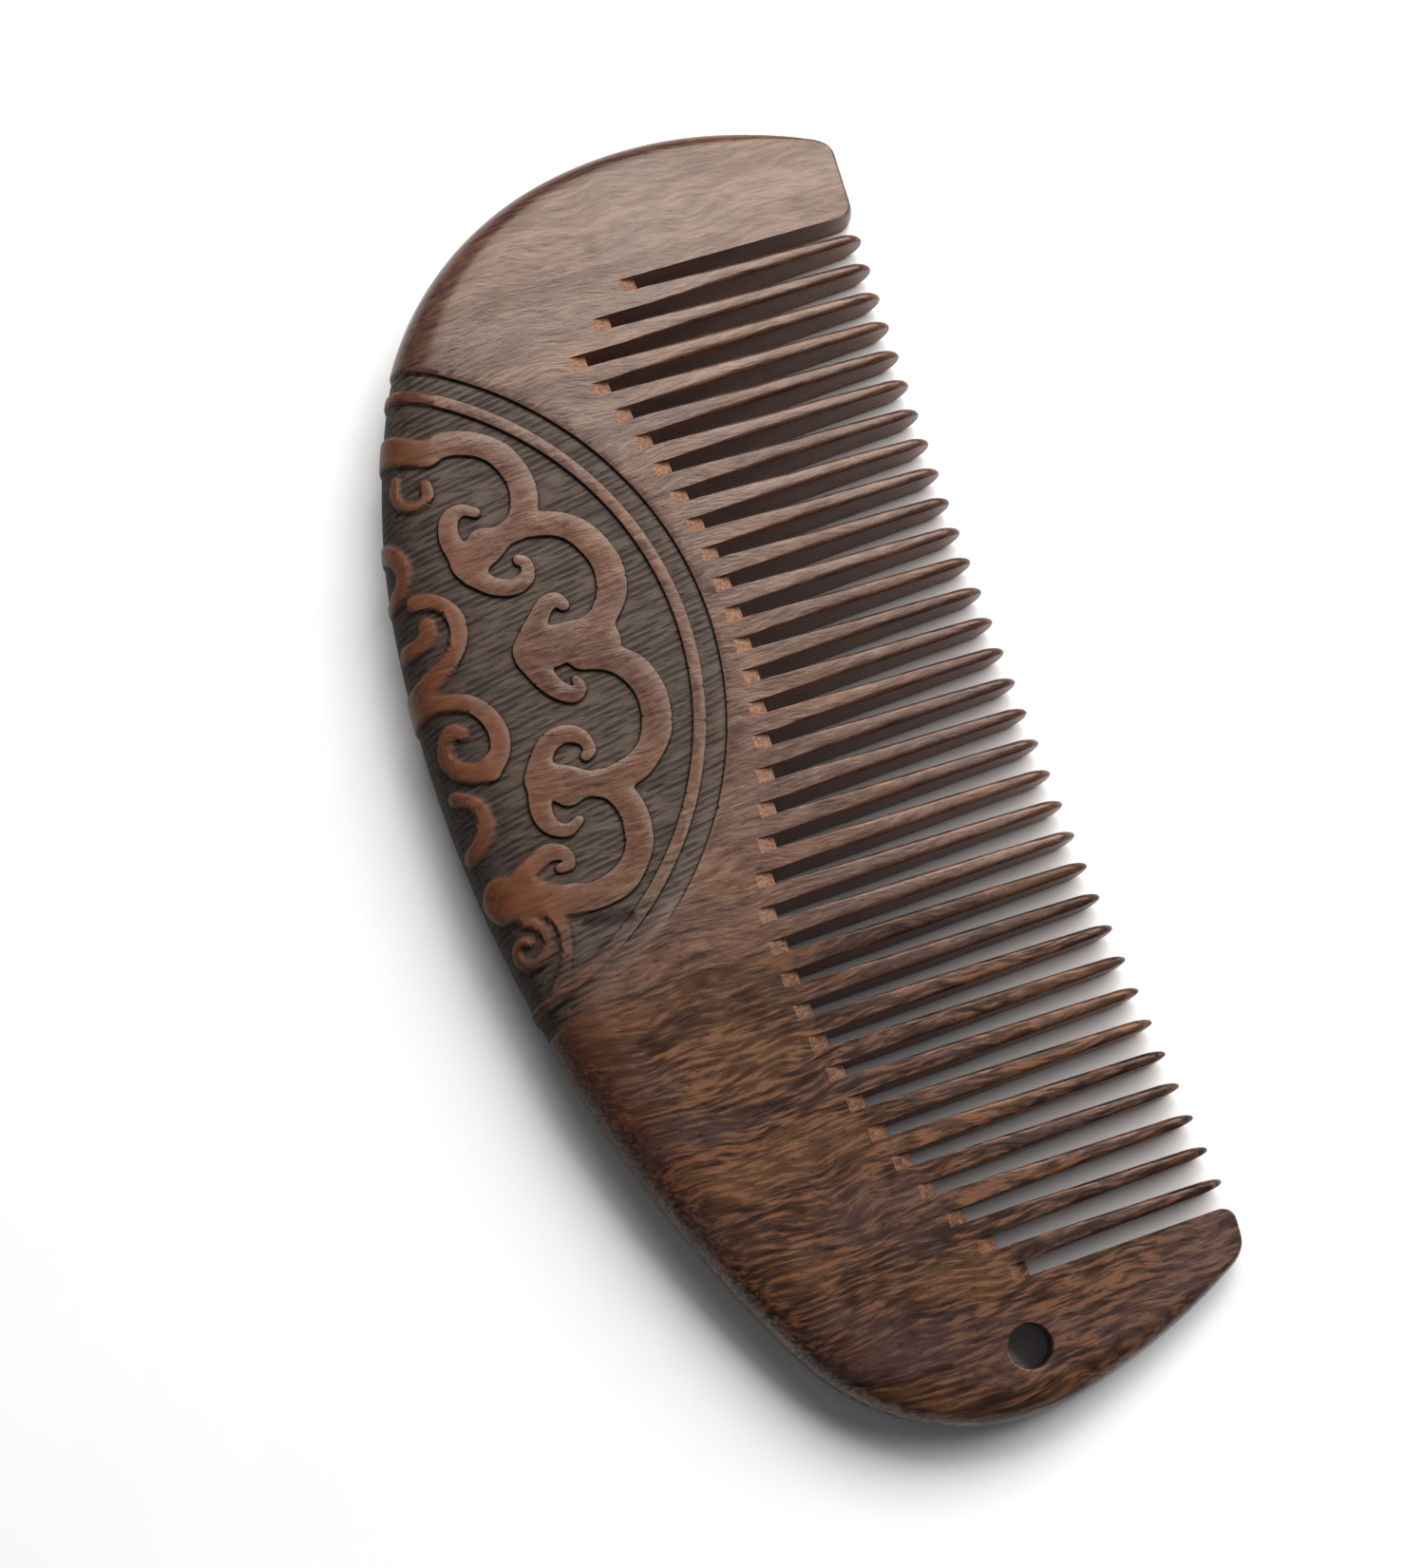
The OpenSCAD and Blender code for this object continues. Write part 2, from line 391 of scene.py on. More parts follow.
def carving(plan):
    """Shares at plan points, in the order of CARVE_LAYERS: depth, dark outline (partly scorch, partly
    painted shade at the foot of the walls), light line along the raised edges (partly wear, partly
    painted highlight), toned area and rough area."""
    cut = cut_distance(plan)
    local = plan - MEDALLION
    u, v = local.T
    # The carving fades out at the worn end
    fade = 1 - smooth(25, 28, u + np.minimum(0.8 * (v - 16), 0.3 * (v - 16)))
    # Wear softens the carving where it runs over the rounded spine
    bend = u**2 / 111
    soft = smooth(10.4 + bend, 9 + bend, v)
    step = smooth(0, CARVE_SLOPE, cut) * (1 - soft) + smooth(-0.12, 0.26, cut) * soft
    depth = (0.14 * smooth(-WORN_RIM, 0, cut) + 0.86 * step) * fade
    gouge = smooth(0.3, -0.3, strokes_distance(local, gouges()))
    # Dark outline at the foot of the walls: partly scorch, partly painted shade in the crease between
    # wall and ground.
    line = np.exp(-(((cut - 0.14) / 0.13) ** 2)) * fade * (1 - 0.7 * soft)
    # Lighter line along the top of the raised edges: partly wear, partly a painted highlight where the
    # edges catch the light.
    rim = np.exp(-(((cut + 0.06) / 0.1) ** 2)) * fade * (1 - 0.7 * soft)
    outside = np.linalg.norm(local, axis=1) - RIM_R
    tone = smooth(0, -1.5, outside) * (1 - smooth(28, 36, u + 0.7 * (v - 9)))
    worn_end = smooth(21.5, 25, u + 0.3 * (v - 14)) * (1 - smooth(31, 36, u + 0.3 * (v - 12)))
    rough = smooth(0.4, -1.4, outside) * worn_end
    return depth + 0.6 * gouge, np.maximum(line, 1.4 * gouge), rim, tone, rough


# ---------------------------------------------------------------- mesh


class Builder:
    """Collects faces whose corners are given as positions, and welds equal positions."""

    def __init__(self):
        self.points = []
        self.index = {}
        self.faces = []

    def vertex(self, p):
        key = (round(p[0] * 5000), round(p[1] * 5000), round(p[2] * 5000))
        if key not in self.index:
            self.index[key] = len(self.points)
            self.points.append(p)
        return self.index[key]

    def face(self, *corners):
        ids = []
        for p in corners:
            i = self.vertex(p)
            if i not in ids:
                ids.append(i)
        if len(ids) > 2:
            self.faces.append(ids)

    def grid(self, rows):
        """Quads between neighbouring rows of positions."""
        for a, b in zip(rows, rows[1:]):
            for k in range(len(a) - 1):
                self.face(a[k], a[k + 1], b[k + 1], b[k])


def edge_rings(path):
    """Rings of the rounded edge from the back face to the front face."""
    reach = round_depth(path)[:, None] * inward_normals(path)
    inner_z = face_z((path + reach)[:, 1])
    rings = []
    for degrees in range(-90, 91, RING_STEP):
        inwards = math.cos(math.radians(degrees))
        plan = path + (1 - inwards) * reach
        # A cube in place of the square of an ellipse lets the faces run into the rounding softly
        height = math.copysign(math.sqrt(max(0, 1 - inwards**3)), degrees)
        rings.append(np.column_stack([plan, (1 + height) / 2 * inner_z]))
    return rings


def slot_walls(i):
    """X of both walls and Y of the root of slot i, which lies between teeth i - 1 and i."""
    left = tooth_x(i - 1) + ROOT_W / 2
    right = tooth_x(i) - ROOT_W / 2
    return left, right, root_y((left + right) / 2)


def tooth_base(i):
    """Y where tooth i leaves the body, just beyond both slots beside it."""
    return max(slot_walls(i)[2], slot_walls(i + 1)[2]) + 0.3


def runout(root):
    """Stations along a run-out, each (y, depth below the face)."""
    return [(root - RUNOUT_LEN * (1 - t), RUNOUT_DEPTH * t) for t in (0, 1 / 3, 2 / 3, 1)]


def body_boundary(rings):
    """Plan outline of both faces: the end of the rounding, then every slot."""
    boundary = [tuple(p) for p in rings[-1][:, :2]]
    for i in range(TOOTH_COUNT + 1, 0, -1):
        left, right, root = slot_walls(i)
        ys = [y for y, _ in runout(root)]
        if i <= TOOTH_COUNT:
            boundary.append((right, tooth_base(i)))
        boundary += [(right, y) for y in reversed(ys)]
        boundary += [(left, y) for y in ys]
        if i > 1:
            base = tooth_base(i - 1)
            boundary += [(left, base), (tooth_x(i - 1), base)]
    return boundary


def circle(radius, steps=48):
    a = np.linspace(0, 2 * math.pi, steps, endpoint=False)
    return np.stack([HOLE_X + radius * np.cos(a), HOLE_Y + radius * np.sin(a)], 1)


def hex_points(low, high, step):
    rows = np.arange(low[1], high[1], step * 0.866)
    columns = np.arange(low[0], high[0], step)
    x, y = np.meshgrid(columns, rows)
    x[1::2] += step / 2
    return np.stack([x.ravel(), y.ravel()], 1)


def inside_polygon(points, polygon):
    inside = np.zeros(len(points), bool)
    x, y = points.T
    for (ax, ay), (bx, by) in zip(polygon, polygon[1:] + polygon[:1]):
        if ay == by:
            continue
        crosses = (ay > y) != (by > y)
        inside ^= crosses & (x < ax + (y - ay) * (bx - ax) / (by - ay))
    return inside


def gap_to(points, others):
    """Distance from each point to the nearest of the others."""
    nearest = np.full(len(points), 1e6)
    for q in others:
        nearest = np.minimum(nearest, ((points - q) ** 2).sum(1))
    return np.sqrt(nearest)


def thinned(points, spacing):
    """Keeps one point in each cell of two staggered grids."""
    for shift in (0, 0.5):
        cells = np.floor(points / spacing + shift)
        _, first = np.unique(cells, axis=0, return_index=True)
        points = points[np.sort(first)]
    return points


def contour_points(points, cut, level, spacing):
    """Moves the points near a contour of the carving onto it and spaces them out."""
    points = points[np.abs(cut - level) < FINE]
    nudge = 0.01
    for _ in range(2):
        value = cut_distance(points)
        slope_x = (cut_distance(points + (nudge, 0)) - value) / nudge
        slope_y = (cut_distance(points + (0, nudge)) - value) / nudge
        move = (level - value) / np.maximum(slope_x**2 + slope_y**2, 0.2)
        points = points + np.stack([move * slope_x, move * slope_y], 1)
    points = points[np.abs(cut_distance(points) - level) < 0.02]
    return thinned(points, spacing)


def fill_points(boundary, hole):
    """Points inside the faces: on the contours of the carving, in its areas, and on plain wood."""
    low = np.min(boundary, 0)
    high = np.max(boundary, 0)
    carved_low = (CARVED_LOW_X, low[1])
    carved_high = (CARVED_HIGH_X, CARVED_HIGH_Y)
    fine = hex_points(carved_low, carved_high, FINE)
    depth, _, rim, _, _ = carving(fine)
    fine = fine[depth + rim > 0.001]
    fine_cut = cut_distance(fine)
    medium = hex_points(carved_low, carved_high, MEDIUM)
    toned = carving(medium)[3] > 0
    medium_cut = cut_distance(medium)
    near = (medium_cut > CONTOURS[0][0] - 0.2) & (medium_cut < CONTOURS[-1][0] + 0.2)
    medium = medium[toned & ~near]
    coarse = hex_points(low, high, COARSE)
    coarse = coarse[carving(coarse)[3] == 0]
    layers = [(contour_points(fine, fine_cut, *contour), contour[1]) for contour in CONTOURS]
    edges = np.concatenate([boundary, hole])
    kept = []
    for points, step in layers + [(medium, MEDIUM), (coarse, COARSE)]:
        points = points[inside_polygon(points, boundary)]
        points = points[np.linalg.norm(points - (HOLE_X, HOLE_Y), axis=1) > HOLE_R + CHAMFER]
        kept.append(points[gap_to(points, edges) > 0.5 * step])
    return np.concatenate(kept)


def face_triangles(boundary, hole):
    """Plan positions and triangles that fill both faces of the body."""
    points = np.concatenate([boundary, hole, fill_points(boundary, hole)])
    n = len(boundary)
    loops = [list(range(n)), list(range(n, n + len(hole)))]
    _, _, triangles, sources, _, _ = delaunay_2d_cdt(
        [Vector(p) for p in points], [], loops, 1, 1e-5
    )
    source = [ids[0] for ids in sources]
    for triangle in triangles:
        ids = [source[k] for k in triangle]
        if not all(n <= k < n + len(hole) for k in ids):
            yield points[ids]


def add_faces(builder, boundary, hole):
    for corners in face_triangles(boundary, hole):
        builder.face(*[(x, y, face_z(y)) for x, y in corners])
        builder.face(*[(x, y, 0.0) for x, y in corners[::-1]])


def add_hole(builder):
    """The wall of the hanging hole with its rounded mouths."""
    angles = [math.radians(a) for a in (0, 22.5, 45, 67.5, 90)]
    mouth = [(CHAMFER * (1 - math.sin(a)), CHAMFER * (1 - math.cos(a))) for a in angles]
    rows = [[(x, y, face_z(y) - depth) for x, y in circle(HOLE_R + wider)] for wider, depth in mouth]
    rows += [[(x, y, depth) for x, y in circle(HOLE_R + wider)] for wider, depth in reversed(mouth)]
    builder.grid([row + row[:1] for row in rows])


def add_slot(builder, i, first_profile, last_profile):
    """Walls, root and run-outs of slot i. A profile is the section of the wood beside it."""
    left, right, root = slot_walls(i)
    stations = runout(root)
    top = [(y, face_z(y) - d) for y, d in stations]
    bottom = [(y, d) for y, d in stations]
    for x, profile in ((left, first_profile), (right, last_profile)):
        face_line = [(y, face_z(y)) for y, _ in stations]
        back_line = [(y, 0.0) for y, _ in reversed(stations)]
        section = face_line + profile + back_line + bottom[1:] + top[:0:-1]
        builder.face(*[(x, y, z) for y, z in section])
    for line in (top, bottom):
        builder.grid([[(left, y, z), (right, y, z)] for y, z in line])
    builder.grid([[(left, y, z), (right, y, z)] for y, z in (top[-1], bottom[-1])])


def base_profile(i):
    """Section of tooth i where it leaves the body, from the front face to the back."""
    y = tooth_base(i)
    return [(y, face_z(y) * k / 3) for k in (3, 2, 1, 0)]


def add_slots(builder, rings):
    first_guard = [(ring[0][1], ring[0][2]) for ring in reversed(rings)]
    last_guard = [(ring[-1][1], ring[-1][2]) for ring in reversed(rings)]
    for i in range(1, TOOTH_COUNT + 2):
        before = first_guard if i == 1 else base_profile(i - 1)
        after = last_guard if i == TOOTH_COUNT + 1 else base_profile(i)
        add_slot(builder, i, before, after)


def tooth_section(x, y, half_w, low, high, share):
    """A closed section of a tooth whose corners are rounded by a share of its half width."""
    r = share * min(half_w, (high - low) / 2)
    side = [low + r + (high - low - 2 * r) * k / 3 for k in (1, 2)]
    corner = [math.radians(a) for a in (90, 67.5, 45, 22.5, 0)]
    upper = [(half_w - r + r * math.cos(a), high - r + r * math.sin(a)) for a in corner]
    lower = [(w, low + high - z) for w, z in reversed(upper)]
    right = upper + [(half_w, side[1]), (half_w, side[0])] + lower
    left = [(-w, z) for w, z in reversed(right)]
    section = [(0, high)] + right + [(0, low)] + left + [(0, high)]
    return [(x + w, y, z) for w, z in section]


def add_tooth(builder, i):
    x = tooth_x(i)
    base = tooth_base(i)
    tip = front_edge(x)
    nose = tip - NOSE_LEN
    thin_from = tip - 0.9 * NOSE_LEN
    middle = face_z(tip) / 2
    shaft = [base + d for d in (0, 0.2, 0.4, 0.8, 1.4, 2.2, 3.2)]
    shaft += list(np.linspace(base + 4.5, nose, 10))
    nose_angles = (8, 18, 28, 38, 48, 58, 67, 75, 82, 90)
    bullet = [nose + NOSE_LEN * math.sin(math.radians(a)) for a in nose_angles]
    rows = []
    for y in shaft + bullet:
        taper = min(1, max(0, (y - TAPER_Y) / (nose - TAPER_Y)))
        half_w = (ROOT_W + (NOSE_W - ROOT_W) * taper) / 2
        half_w *= math.sqrt(max(0, 1 - max(0, (y - nose) / NOSE_LEN) ** 2))
        thin = math.sqrt(max(0, 1 - max(0, (y - thin_from) / (tip - thin_from)) ** 2))
        low = middle * (1 - thin)
        high = face_z(y) if thin == 1 else middle + thin * (face_z(thin_from) - middle)
        along = y - base
        share = 0.15 * smooth(0.1, 2, along) + 0.4 * smooth(1, 10, along)
        share += 0.4 * smooth(nose - 5, tip, y)
        rows.append(tooth_section(x, y, half_w, low, high, float(share)))
    builder.grid(rows)


def comb_mesh():
    """The whole comb as one closed bmesh, before it's carved and divided."""
    rings = edge_rings(outline_path())
    boundary = body_boundary(rings)
    builder = Builder()
    builder.grid([[tuple(p) for p in ring] for ring in rings])
    add_faces(builder, boundary, circle(HOLE_R + CHAMFER))
    add_hole(builder)
    add_slots(builder, rings)
    for i in range(1, TOOTH_COUNT + 1):
        add_tooth(builder, i)
    mesh = bpy.data.meshes.new("comb")
    mesh.from_pydata(builder.points, [], builder.faces)
    bm = bmesh.new()
    bm.from_mesh(mesh)
    bpy.data.meshes.remove(mesh)
    bmesh.ops.recalc_face_normals(bm, faces=bm.faces)
    return bm


def carve(bm):
    """Sinks the carved areas along the surface normal and stores what the wood shader needs."""
    bm.normal_update()
    plan = np.array([v.co[:2] for v in bm.verts])
    layers = [bm.verts.layers.float.new("carve_" + name) for name in CARVE_LAYERS]
    values = carving(plan)
    for layer, column in zip(layers, values):
        for v, value in zip(bm.verts, column):
            v[layer] = value
    for v, share in zip(bm.verts, values[0]):
        steep = 1 - abs(v.normal.z)
        v.co -= v.normal * float(share) * CARVE_DEPTH * (1 - 0.5 * steep)


def divide(bm, keep_low):
    """The stave on one side of the glue line, closed by a flat face."""
    part = bm.copy()
    geometry = part.verts[:] + part.edges[:] + part.faces[:]
    cut = bmesh.ops.bisect_plane(
        part,
        geom=geometry,
        dist=1e-5,
        plane_co=(SEAM_X, 0, 0),
        plane_no=(1, 0, 0),
        clear_outer=keep_low,
        clear_inner=not keep_low,
    )
    edges = [e for e in cut["geom_cut"] if isinstance(e, bmesh.types.BMEdge)]
    bmesh.ops.contextual_create(part, geom=edges)
    big = [f for f in part.faces if len(f.verts) > 4]
    bmesh.ops.triangulate(part, faces=big, ngon_method="EAR_CLIP")
    bmesh.ops.recalc_face_normals(part, faces=part.faces)
    return part


def set_corner_normals(mesh):
    """Area-weighted normals at each face corner. Faces turned away by a sharp angle don't count."""
    mesh.shade_smooth()
    corner_vertex = np.empty(len(mesh.loops), int)
    mesh.loops.foreach_get("vertex_index", corner_vertex)
    sizes = np.array([p.loop_total for p in mesh.polygons])
    normals = np.array([p.normal for p in mesh.polygons])
    weighted = normals * np.array([p.area for p in mesh.polygons])[:, None]
    corner_face = np.repeat(np.arange(len(sizes)), sizes)
    order = np.argsort(corner_vertex, kind="stable")
    face = corner_face[order]
    _, start, valence = np.unique(corner_vertex[order], return_index=True, return_counts=True)
    first = np.repeat(start, valence)
    count = np.repeat(valence, valence)
    place = np.arange(len(order)) - first
    total = weighted[face].copy()
    limit = math.cos(math.radians(SHARP_ANGLE))
    for shift in range(1, valence.max()):
        rows = np.nonzero(count > shift)[0]
        other = face[first[rows] + (place[rows] + shift) % count[rows]]
        alike = (normals[face[rows]] * normals[other]).sum(1) > limit
        total[rows[alike]] += weighted[other[alike]]
    total /= np.maximum(np.linalg.norm(total, axis=1), 1e-20)[:, None]
    result = np.empty_like(total)
    result[order] = total
    mesh.normals_split_custom_set(result)


def make_piece(name, bm, material):
    bmesh.ops.scale(bm, vec=(MM, MM, MM), verts=bm.verts)
    mesh = bpy.data.meshes.new(name)
    bm.to_mesh(mesh)
    bm.free()
    set_corner_normals(mesh)
    mesh.materials.append(material)
    piece = bpy.data.objects.new(name, mesh)
    bpy.context.scene.collection.objects.link(piece)
    return piece


# ---------------------------------------------------------------- wood
# Shaders see positions in metres. Colours are linear.


class Graph:
    """Short calls for building a node tree. An input is a socket to link or a constant."""

    def __init__(self, material):
        self.tree = material.node_tree

    def node(self, kind, inputs=(), **settings):
        made = self.tree.nodes.new("ShaderNode" + kind)
        for key, value in settings.items():
            setattr(made, key, value)
        for key, value in dict(inputs).items():
            if isinstance(value, bpy.types.NodeSocket):
                self.tree.links.new(value, made.inputs[key])
            else:
                made.inputs[key].default_value = value
        return made

    def math(self, operation, *values):
        return self.node("Math", dict(enumerate(values)), operation=operation).outputs[0]

    def ramp(self, value, low, high, to_low=0.0, to_high=1.0):
        """Eases from to_low to to_high as value goes from low to high."""
        inputs = {"Value": value, 1: low, 2: high, 3: to_low, 4: to_high}
        return self.node("MapRange", inputs, interpolation_type="SMOOTHSTEP").outputs[0]

    def vector(self, x, y, z):
        return self.node("CombineXYZ", {0: x, 1: y, 2: z}).outputs[0]

    def scaled(self, vector, scale):
        """Turns a position in metres into noise features, a number of them per millimetre."""
        factors = [s / MM for s in scale]
        return self.node("VectorMath", {0: vector, 1: factors}, operation="MULTIPLY").outputs[0]

    def noise(self, vector, scale, detail=2.0, roughness=0.5):
        """Noise with its own scale along X, Y and Z, in features per millimetre."""
        inputs = {
            "Vector": self.scaled(vector, scale),
            "Scale": 1.0,
            "Detail": detail,
            "Roughness": roughness,
        }
        return self.node("TexNoise", inputs).outputs[0]

    def rows(self, vector, spacing):
        """Slightly wavering rows along Y, a number of millimetres apart."""
        inputs = {
            "Vector": self.scaled(vector, (1, 0.3, 0.3)),
            # A wave texture has 20 / tau waves in one unit
            "Scale": math.tau / (20 * spacing),
            "Distortion": 2.5,
            "Detail": 1.0,
            "Detail Scale": 0.8,
        }
        wave = self.node("TexWave", inputs, bands_direction="X")
        return self.ramp(wave.outputs["Fac"], 0.35, 0.8)

    def mix(self, factor, a, b):
        """Mixes two colours, each an (r, g, b) constant or a socket."""
        colors = [c if isinstance(c, bpy.types.NodeSocket) else (*c, 1) for c in (a, b)]
        inputs = {0: factor, 6: colors[0], 7: colors[1]}
        return self.node("Mix", inputs, data_type="RGBA").outputs[2]

    def attribute(self, name):
        return self.node("Attribute", attribute_name=name).outputs["Fac"]


def new_material(name):
    material = bpy.data.materials.new(name)
    material.use_nodes = True
    return material


def wood_sockets(graph):
    """What every part of the wood looks at: position, normal, grain and the carving's layers."""
    wood = SimpleNamespace(**{name: graph.attribute("carve_" + name) for name in CARVE_LAYERS})
    wood.point = graph.node("TexCoord").outputs["Object"]
    wood.x, wood.y, wood.z = graph.node("SeparateXYZ", {0: wood.point}).outputs
    normal = graph.node("SeparateXYZ", {0: graph.node("NewGeometry").outputs["Normal"]}).outputs
    wood.normal_y = normal[1]
    wood.upright = graph.math("ABSOLUTE", normal[2])
    # The grain runs along Y. The point is pushed sideways a little so that the streaks waver
    wood.waver = graph.noise(wood.point, (0.13, 0.07, 0.13), 2, 0.5)
    push = graph.math("MULTIPLY", graph.math("SUBTRACT", wood.waver, 0.5), 4 * MM)
    grain = graph.vector(graph.math("ADD", wood.x, push), wood.y, wood.z)
    wood.bands = graph.noise(grain, (0.35, 0.02, 0.35), 3, 0.6)
    wood.streaks = graph.noise(grain, (2.8, 0.18, 2.8), 2, 0.5)
    wood.fibres = graph.noise(grain, (6.0, 0.26, 6.0), 2, 0.55)
    wood.pores = graph.noise(grain, (5.0, 0.8, 5.0), 1, 0.4)
    wood.blotch = graph.noise(wood.point, (0.16, 0.07, 0.16), 3, 0.6)
    return wood


def wood_shade(graph, wood, figure):
    """How dark or light the wood is, round zero. Figured wood has stronger streaks."""
    bend = graph.math("MULTIPLY_ADD", wood.waver, 3 * MM, graph.math("MULTIPLY", wood.y, 0.06))
    x = graph.math("SUBTRACT", wood.x, bend)
    figured = graph.ramp(x, FIGURED_FROM_X * MM, (FIGURED_FROM_X + 1.2) * MM)
    strength = graph.math("MULTIPLY_ADD", figured, figure, 0.8)
    fibres = graph.math("MULTIPLY", wood.fibres, 0.3)
    shade = graph.math("ADD", graph.math("MULTIPLY", wood.bands, 0.7), fibres)
    streaks = graph.math("MULTIPLY", graph.math("SUBTRACT", wood.streaks, 0.5), strength)
    return graph.math("ADD", graph.math("SUBTRACT", shade, 0.5), streaks)


def polished_color(graph, wood, shade, dark, middle, light):
    color = graph.mix(graph.ramp(shade, 0.0, 0.26), middle, light)
    color = graph.mix(graph.ramp(shade, 0.02, -0.26), color, dark)
    color = graph.mix(graph.ramp(wood.blotch, 0.42, 0.66, 0.0, 0.5), color, (0.07, 0.04, 0.036))
    color = graph.mix(graph.ramp(wood.blotch, 0.5, 0.32, 0.0, 0.35), color, (0.15, 0.072, 0.036))
    color = graph.mix(graph.ramp(wood.pores, 0.4, 0.28, 0.0, 0.65), color, (0.014, 0.01, 0.009))
    # Painted shade: the wood towards the spine is darker and redder, as its rounded side turns away from
    # the lamps.
    return graph.mix(graph.ramp(wood.y, -14 * MM, -22 * MM, 0.0, 0.45), color, (0.055, 0.019, 0.011))


def hatch_strokes(graph, wood):
    """Share of the dark strokes that a tool left in the ground, and the noise that breaks them."""
    slanted = graph.vector(graph.math("MULTIPLY_ADD", wood.y, 0.16, wood.x), wood.y, wood.z)
    breaks = graph.noise(slanted, (1.5, 0.3, 1.5), 2, 0.5)
    return graph.math("MULTIPLY", graph.rows(slanted, 0.62), graph.ramp(breaks, 0.6, 0.42)), breaks


def carved_color(graph, wood, color, hatch, breaks):
    """Raised wood turns orange towards the spine, the ground is scorched and hatched."""
    by_streak = graph.ramp(wood.streaks, 0.3, 0.65, 0.6, 1.15)
    near_spine = graph.math("MULTIPLY", graph.ramp(wood.y, -13 * MM, -23 * MM, 0.15, 0.62), by_streak)
    color = graph.mix(graph.math("MULTIPLY", wood.tone, near_spine), color, (0.14, 0.05, 0.022))
    ground = graph.mix(graph.ramp(wood.streaks, 0.3, 0.7), (0.036, 0.026, 0.021), (0.07, 0.049, 0.037))
    ground = graph.mix(graph.math("MULTIPLY", hatch, 0.85), ground, (0.01, 0.008, 0.008))
    ground = graph.mix(graph.ramp(wood.y, -19 * MM, -25 * MM, 0.0, 0.5), ground, (0.018, 0.015, 0.016))
    mottled = graph.math("MULTIPLY", wood.rough, graph.ramp(breaks, 0.38, 0.56, 0.9, 0.35))
    color = graph.mix(mottled, color, ground)
    # Painted highlight, partly wear: a lighter line along the raised edges of the carving.
    color = graph.mix(graph.math("MULTIPLY", wood.rim, 0.22), color, (0.3, 0.21, 0.16))
    color = graph.mix(wood.depth, color, ground)
    # Painted shade, partly scorch: a dark outline at the foot of the walls.
    return graph.mix(graph.math("MULTIPLY", wood.line, 0.6), color, (0.01, 0.008, 0.008))


def sawn_and_lit_color(graph, wood, color):
    """Walls of the slots are painted paler than the wood: partly raw sawn wood, partly painted light
    that brightens the shaded slots. The run-outs get a painted highlight where they slope towards the
    lamps, partly raw wood too. Returns the share of wall too.
    """
    from_middle = graph.math("ABSOLUTE", graph.math("SUBTRACT", wood.x, ROW_X * MM))
    in_row = graph.ramp(from_middle, (GUARD_WALL + 0.225) * MM, (GUARD_WALL + 0.025) * MM)
    in_slots = graph.math("MULTIPLY", in_row, graph.ramp(wood.y, -4.5 * MM, -3.5 * MM))
    wall = graph.math("MULTIPLY", graph.ramp(wood.upright, 0.35, 0.1), in_slots)
    # Painted light, partly raw sawn wood: the slot walls are paler than the wood, so that the shaded
    # slots look brighter.
    sawn_and_lit_wall = graph.mix(graph.ramp(wood.streaks, 0.35, 0.65), (0.17, 0.09, 0.062), (0.27, 0.15, 0.108))
    color = graph.mix(graph.math("MULTIPLY", wall, 0.8), color, sawn_and_lit_wall)
    # Painted highlight, partly raw wood: run-outs that slope towards the teeth and the lamps are
    # lightened, less so towards +X.
    faces_teeth_and_lamps = graph.ramp(wood.normal_y, 0.35, 0.5)
    sloping = graph.math("MULTIPLY", faces_teeth_and_lamps, graph.ramp(wood.upright, 0.5, 0.7))
    raw_and_lit_runout = graph.math("MULTIPLY", sloping, in_slots)
    raw_and_lit_runout = graph.math("MULTIPLY", raw_and_lit_runout, graph.ramp(wood.y, 8 * MM, 7 * MM))
    raw_and_lit_runout = graph.math("MULTIPLY", raw_and_lit_runout, graph.ramp(wood.x, -5 * MM, 20 * MM, 0.85, 0.4))
    raw_and_lit_runout = graph.math("MULTIPLY", raw_and_lit_runout, graph.ramp(wood.fibres, 0.35, 0.6, 0.3, 1.0))
    return graph.mix(raw_and_lit_runout, color, (0.27, 0.135, 0.075)), wall


def glue_line(graph, wood, color):
    from_seam = graph.math("ABSOLUTE", graph.math("SUBTRACT", wood.x, SEAM_X * MM))
    glue = graph.ramp(from_seam, 0.16 * MM, 0.05 * MM, 0.0, 0.6)
    return graph.mix(glue, color, (0.02, 0.014, 0.012))


def wood_roughness(graph, wood, wall):
    """Polished wood is smooth; the worn spine, the carved ground and the sawn walls are rougher."""
    polished = graph.math("MULTIPLY_ADD", wood.streaks, 0.16, 0.07)
    polished = graph.math("MULTIPLY_ADD", wood.fibres, 0.2, polished)
    worn = graph.math("ADD", polished, graph.ramp(wood.y, -14 * MM, -24 * MM, 0.0, 0.16))
    worked = graph.math("MULTIPLY", graph.math("MAXIMUM", wood.depth, wood.rough), 0.28)
    return graph.math("ADD", graph.math("ADD", worn, worked), graph.math("MULTIPLY", wall, 0.15))


def wood_sheen(graph, wood, shade, gloss):
    """Strength of the reflections: light streaks shine most, the spine and the medallion least."""
    sheen = graph.ramp(shade, -0.2, 0.2, gloss - 0.08, gloss + 0.08)
    sheen = graph.math("MULTIPLY", sheen, graph.ramp(wood.y, -14 * MM, -24 * MM, 1.0, 0.5))
    return graph.math("MULTIPLY", sheen, graph.ramp(wood.tone, 0.0, 1.0, 1.0, 0.65))


def wood_relief(graph, wood, hatch):
    """Fibres and pores, and the strokes pressed into the carved ground."""
    height = graph.math("MULTIPLY_ADD", wood.fibres, 0.25, graph.math("MULTIPLY", wood.pores, 0.3))
    worked = graph.math("MAXIMUM", wood.depth, graph.math("MULTIPLY", wood.rough, 0.8))
    pressed = graph.math("MULTIPLY", graph.math("MULTIPLY", hatch, worked), 1.6)
    height = graph.math("SUBTRACT", height, pressed)
    return graph.node("Bump", {"Height": height, "Strength": 0.45, "Distance": 0.1 * MM}).outputs[0]


